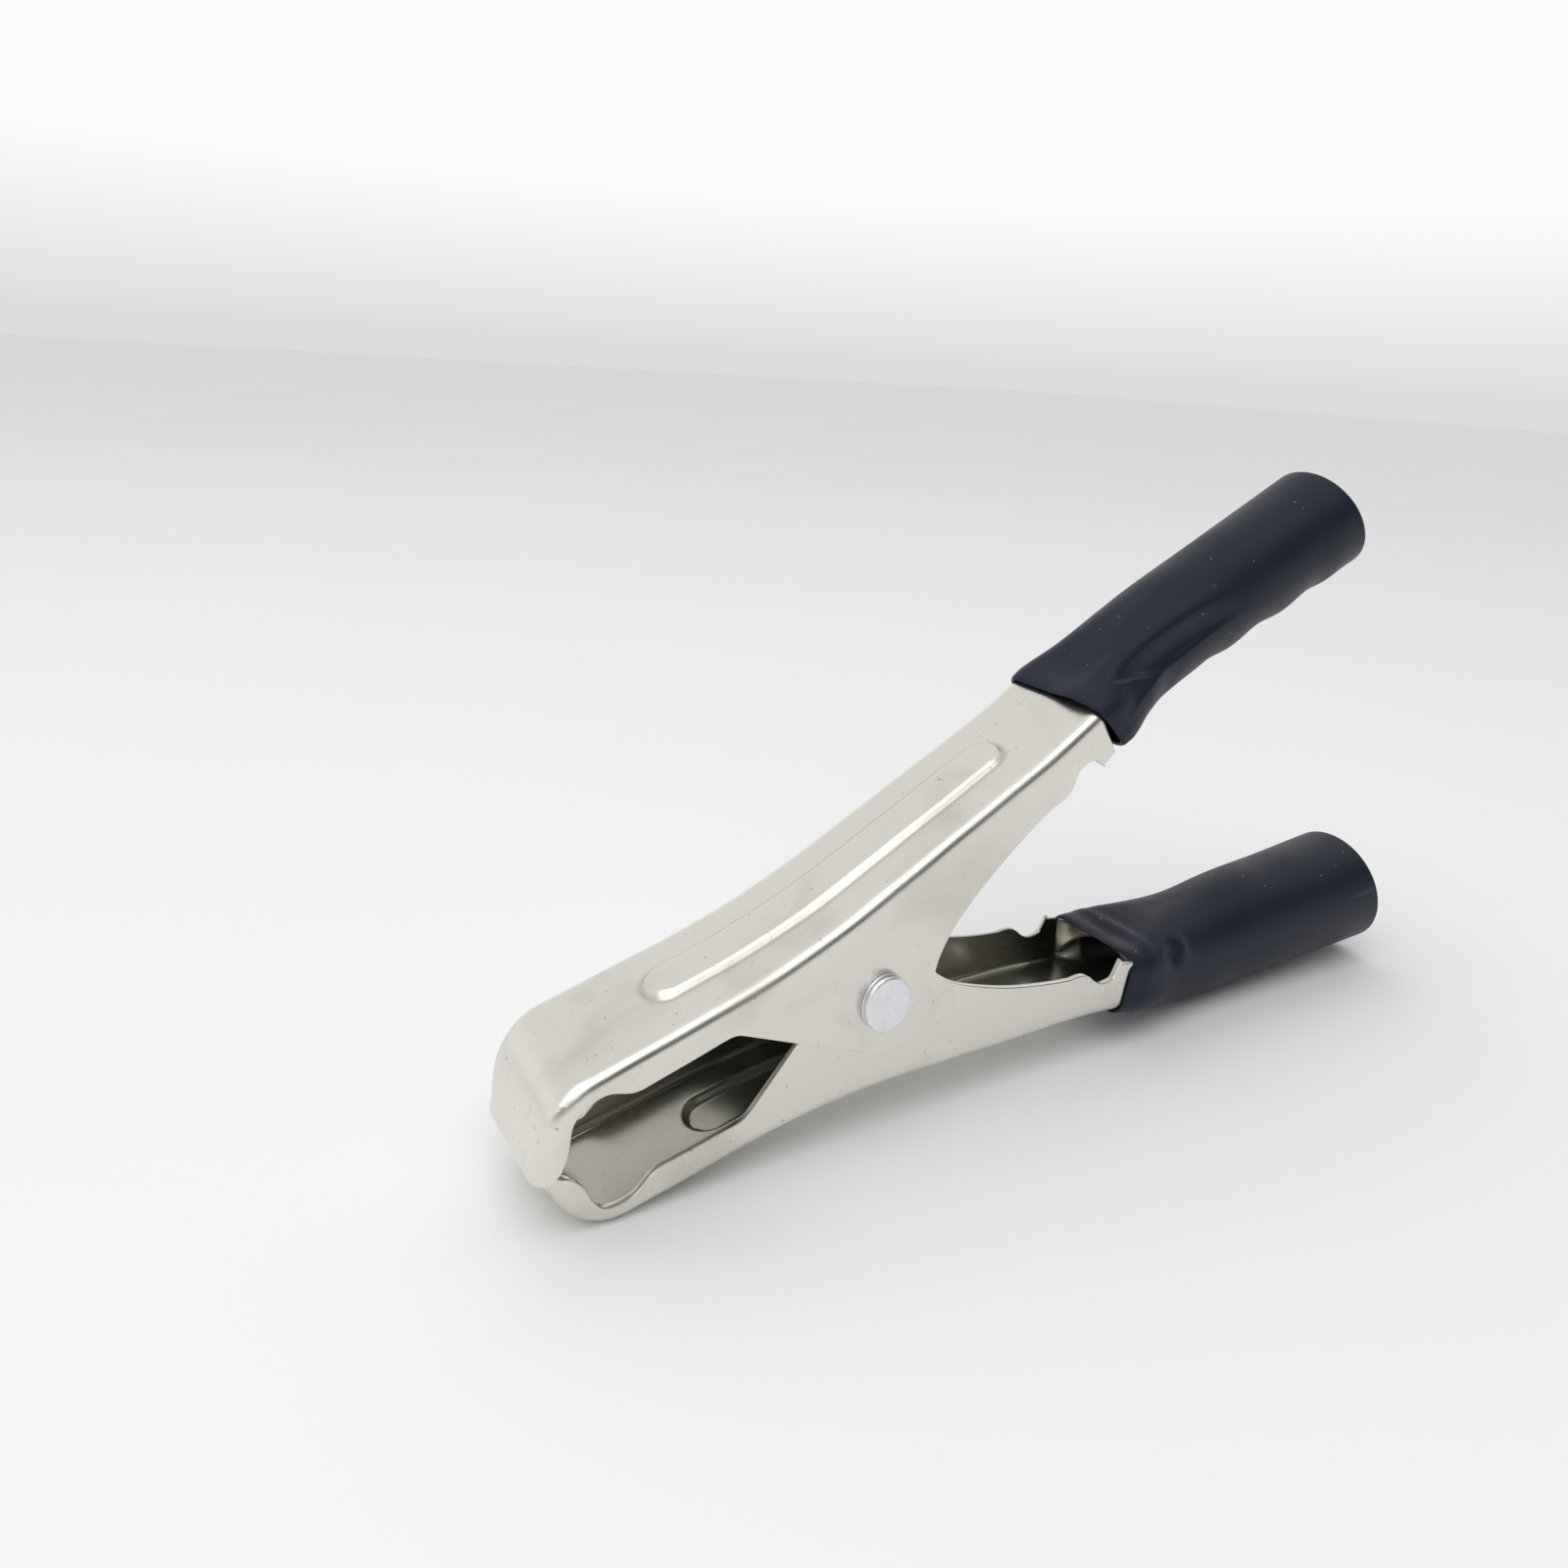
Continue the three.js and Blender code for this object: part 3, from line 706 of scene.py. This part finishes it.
def nickel_material():
    """Bright nickel plate on rolled sheet: faint stains, drawing lines and fine scratches, with shade
    painted on the inner faces and along the foot of the rib.
    """
    n = Nodes("nickel_plate_worn")
    rolled = n.noise(900, 4, n.stretched((0.06, 1, 0.06)))
    scratch_lines = n.noise(520, 2, n.stretched((0.03, 1, 1), (0.3, 0.2, 0.5)))
    scratches = n.remap(scratch_lines, 0.70, 0.76, 0, 1)
    stain = n.remap(n.noise(75, 5, distortion=0.6), 0.52, 0.78, 0, 1)
    specks = n.remap(n.noise(1300, 2), 0.70, 0.75, 0, 1)
    clean = n.mix(n.noise(28, 3), (0.80, 0.775, 0.71, 1), (0.72, 0.705, 0.64, 1))
    stained = n.mix(n.math("MULTIPLY", stain, 0.7), clean, (0.58, 0.56, 0.49, 1))
    marked = n.mix(n.math("MULTIPLY", specks, 0.55), stained, (0.20, 0.17, 0.14, 1))
    # Painted shade: the inner faces of the sheet are darkened towards a dull olive grey.
    inside_shade = n.new("ShaderNodeAttribute", attribute_name="inside_shade").outputs["Fac"]
    foot_shade = n.new("ShaderNodeAttribute", attribute_name="rib_foot_shade").outputs["Fac"]
    with_inside_shade = n.mix(n.math("MULTIPLY", inside_shade, 0.6), marked, (0.27, 0.26, 0.21, 1))
    # Painted shade: a thin darker line along the foot of the rib.
    colour = n.mix(n.math("MULTIPLY", foot_shade, 0.5), with_inside_shade, (0.30, 0.27, 0.25, 1))
    roughness = n.remap(n.noise(45, 4), 0.3, 0.7, 0.2, 0.33)
    roughness = n.math("ADD", roughness, n.math("MULTIPLY", stain, 0.1))
    normal = n.bump(n.noise(110, 2), 0.00010, 0.55)
    normal = n.bump(rolled, 0.000006, 0.5, normal)
    normal = n.bump(scratches, 0.00002, 0.6, normal)
    return n.finish(colour, roughness, normal, 1.0)


def rivet_material():
    """Plated rivet with a grainy, slightly matt face."""
    n = Nodes("rivet_plate")
    grain = n.noise(2600, 3)
    colour = n.mix(grain, (0.92, 0.92, 0.95, 1), (0.70, 0.70, 0.74, 1))
    roughness = n.remap(n.noise(500, 3), 0.3, 0.7, 0.24, 0.42)
    normal = n.bump(grain, 0.00009, 0.8)
    return n.finish(colour, roughness, normal, 1.0)


def spring_material():
    """Drawn spring wire with a thin oil film."""
    n = Nodes("spring_wire_steel")
    colour = n.mix(n.noise(300, 4), (0.42, 0.42, 0.43, 1), (0.30, 0.29, 0.28, 1))
    roughness = n.remap(n.noise(700, 3), 0.3, 0.7, 0.25, 0.42)
    normal = n.bump(n.noise(1800, 2), 0.00002, 0.5)
    return n.finish(colour, roughness, normal, 1.0)


def vinyl_material():
    """Blue-black dipped vinyl: dull sheen, faint orange peel, dust and small scuffs."""
    n = Nodes("black_vinyl_soft")
    dust_cells = n.new("ShaderNodeTexVoronoi", {"Vector": n.position, "Scale": 420.0, "Randomness": 1.0})
    dust = n.remap(dust_cells.outputs["Distance"], 0.035, 0.075, 1, 0)
    some = n.remap(n.noise(160, 2), 0.5, 0.56, 0, 1)
    dust = n.math("MULTIPLY", dust, some)
    scuffs = n.remap(n.noise(380, 2, n.stretched((0.12, 1, 1), (0.2, 0.6, 0.3))), 0.71, 0.75, 0, 1)
    base = n.mix(n.noise(60, 3), (0.0035, 0.0075, 0.0200, 1), (0.0060, 0.0110, 0.0270, 1))
    marked = n.mix(n.math("MULTIPLY", scuffs, 0.25), base, (0.10, 0.11, 0.13, 1))
    colour = n.mix(n.math("MULTIPLY", dust, 0.8), marked, (0.42, 0.44, 0.47, 1))
    roughness = n.remap(n.noise(90, 4), 0.3, 0.7, 0.4, 0.52)
    normal = n.bump(n.noise(900, 2), 0.00004, 0.35)
    normal = n.bump(n.noise(70, 2), 0.00025, 0.4, normal)
    n.shader.inputs["Specular IOR Level"].default_value = 0.28
    return n.finish(colour, roughness, normal, 0.0)


def floor_material():
    n = Nodes("pale_floor")
    colour = n.mix(n.noise(6, 2), (0.93, 0.93, 0.935, 1), (0.90, 0.90, 0.905, 1))
    return n.finish(colour, 0.7, n.bump(n.noise(400, 2), 0.00002, 0.1), 0.0)


# ---- stage ----

CAMERA_FROM_PIVOT = (-0.10458, -0.13816, 0.08841)
CAMERA_HEADING = 31.04      # from +Y towards +X
CAMERA_PITCH = -0.99
CAMERA_ROLL = 3.68
CAMERA_LENS = 27.14
CAMERA_SHIFT = (0.0186, -0.2583)


def make_camera():
    data = bpy.data.cameras.new("camera")
    data.lens = CAMERA_LENS
    data.sensor_width = 36
    data.shift_x, data.shift_y = CAMERA_SHIFT
    data.clip_start = 0.01
    camera = bpy.data.objects.new("camera", data)
    camera.location = Vector(PIVOT) + Vector(CAMERA_FROM_PIVOT)
    turn = Euler((radians(90 + CAMERA_PITCH), 0, radians(-CAMERA_HEADING))).to_matrix()
    roll = Euler((0, 0, radians(CAMERA_ROLL))).to_matrix()
    camera.rotation_euler = (turn @ roll).to_euler()
    bpy.context.scene.collection.objects.link(camera)
    bpy.context.scene.camera = camera


def area_light(name, place, aim, size, power):
    data = bpy.data.lights.new(name, "AREA")
    data.shape = "RECTANGLE"
    data.size, data.size_y = size
    data.energy = power
    light = bpy.data.objects.new(name, data)
    light.location = place
    light.rotation_euler = (Vector(aim) - Vector(place)).to_track_quat("-Z", "Y").to_euler()
    bpy.context.scene.collection.objects.link(light)


def make_stage():
    """Pale floor, surroundings and the key light, in metres."""
    size = 6.0
    mesh = bpy.data.meshes.new("floor")
    corners = [(-size, -size, 0), (size, -size, 0), (size, size, 0), (-size, size, 0)]
    mesh.from_pydata(corners, [], [(0, 1, 2, 3)])
    mesh.materials.append(floor_material())
    floor = bpy.data.objects.new("floor", mesh)
    bpy.context.scene.collection.objects.link(floor)
    make_studio()
    area_light("key", (-0.45, -0.35, 0.8), (0, 0, 0.03), (1.1, 1.1), 4.3)


def make_studio():
    """Pale surroundings with a darker stretch behind the camera, for contrast in the bright metal."""
    world = bpy.data.worlds.new("studio")
    world.use_nodes = True
    bpy.context.scene.world = world
    tree = world.node_tree

    def new(kind, *values, operation=None):
        node = tree.nodes.new(kind)
        if operation:
            node.operation = operation
        for i, value in enumerate(values):
            if isinstance(value, bpy.types.NodeSocket):
                tree.links.new(value, node.inputs[i])
            else:
                node.inputs[i].default_value = value
        return node.outputs

    way = new("ShaderNodeSeparateXYZ", new("ShaderNodeTexCoord")["Generated"])
    behind = new("ShaderNodeMapRange", way["Y"], -0.05, -0.4, 0.0, 1.0)[0]
    above_floor = new("ShaderNodeMapRange", way["Z"], 0.10, 0.22, 0.0, 1.0)[0]
    below_top = new("ShaderNodeMapRange", way["Z"], 0.78, 0.60, 0.0, 1.0)[0]
    band = new("ShaderNodeMath", above_floor, below_top, operation="MULTIPLY")[0]
    dark = new("ShaderNodeMath", band, behind, operation="MULTIPLY")[0]
    overhead = new("ShaderNodeMapRange", way["Z"], 0.32, 0.5, 0.97, 0.84)[0]
    horizon = new("ShaderNodeMapRange", way["Z"], 0.0, 0.14, 0.74, 1.0)[0]
    light = new("ShaderNodeMath", overhead, horizon, operation="MULTIPLY")[0]
    level = new("ShaderNodeMapRange", dark, 0.0, 1.0, light, 0.12)[0]
    tree.links.new(level, tree.nodes["Background"].inputs["Color"])


# ---- build ----

bpy.context.scene.view_settings.view_transform = "Standard"
make_camera()
make_stage()
nickel = nickel_material()
vinyl = vinyl_material()
for half_spec in (UPPER, LOWER):
    make_jaw(half_spec, nickel)
    make_sleeve(half_spec, vinyl)
make_rivet(rivet_material())
make_spring(spring_material())

bpy.context.view_layer.update()
